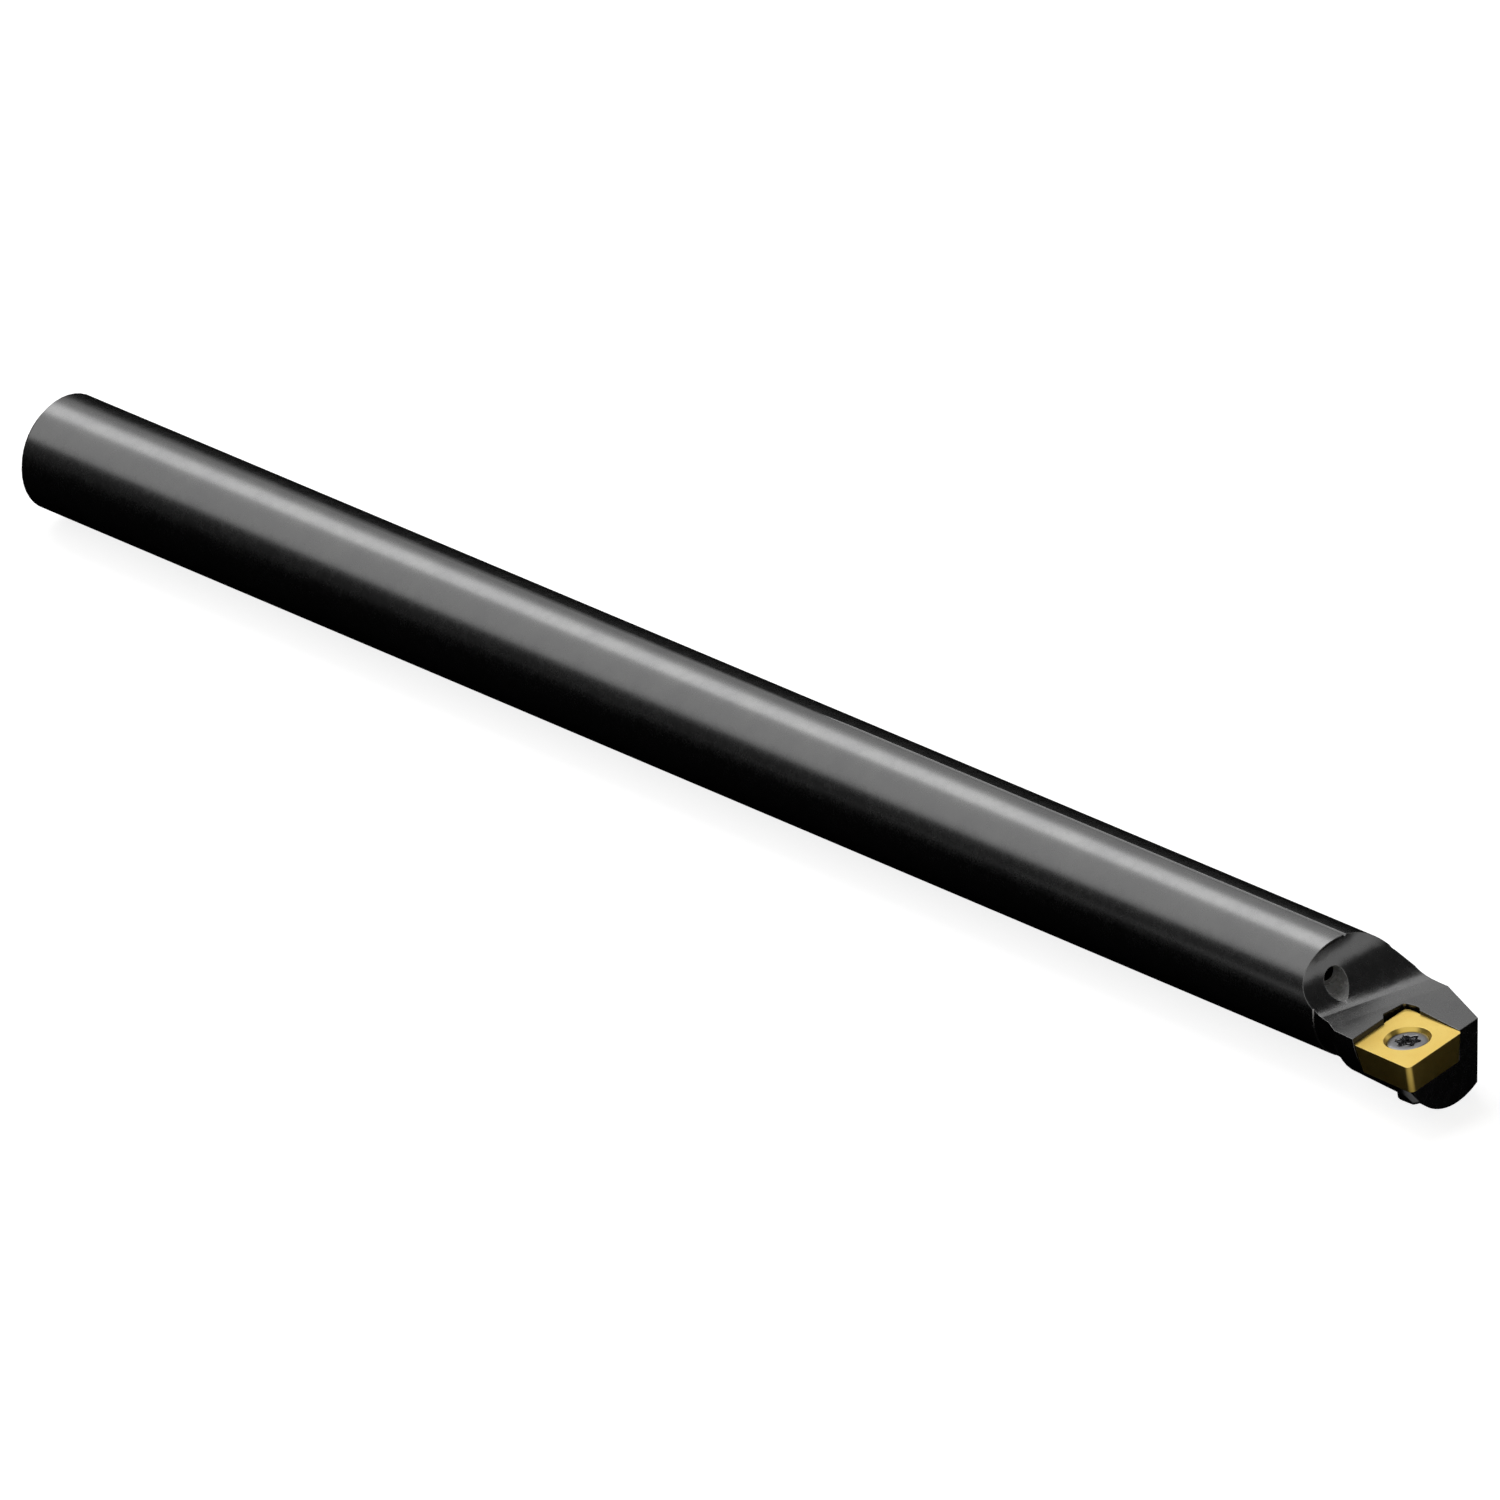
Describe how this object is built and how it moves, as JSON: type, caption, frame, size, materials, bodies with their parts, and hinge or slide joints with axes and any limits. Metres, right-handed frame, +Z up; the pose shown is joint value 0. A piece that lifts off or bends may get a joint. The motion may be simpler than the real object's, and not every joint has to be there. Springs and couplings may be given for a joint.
{
  "type": "boring bar",
  "caption": "Round-shank boring bar with a screw-held rhombic insert, a scooped head and a coolant hole that points at the cutting nose.",
  "frame": {"origin": "centre of the shank's rear face, on the shank's axis", "axes": "+X along the shank to the cutting head, +Z up through the insert's face, -Y towards the cutting nose"},
  "size_m": [0.1524, 0.0111, 0.01],
  "materials": {
    "bar_steel": "blackened satin",
    "insert_coating": "gold-coloured coating, satin",
    "screw_steel": "satin"
  },
  "bodies": {
    "root": {"bar": "bar_steel", "insert": "insert_coating", "insert_screw": "screw_steel"}
  },
  "joints": []
}
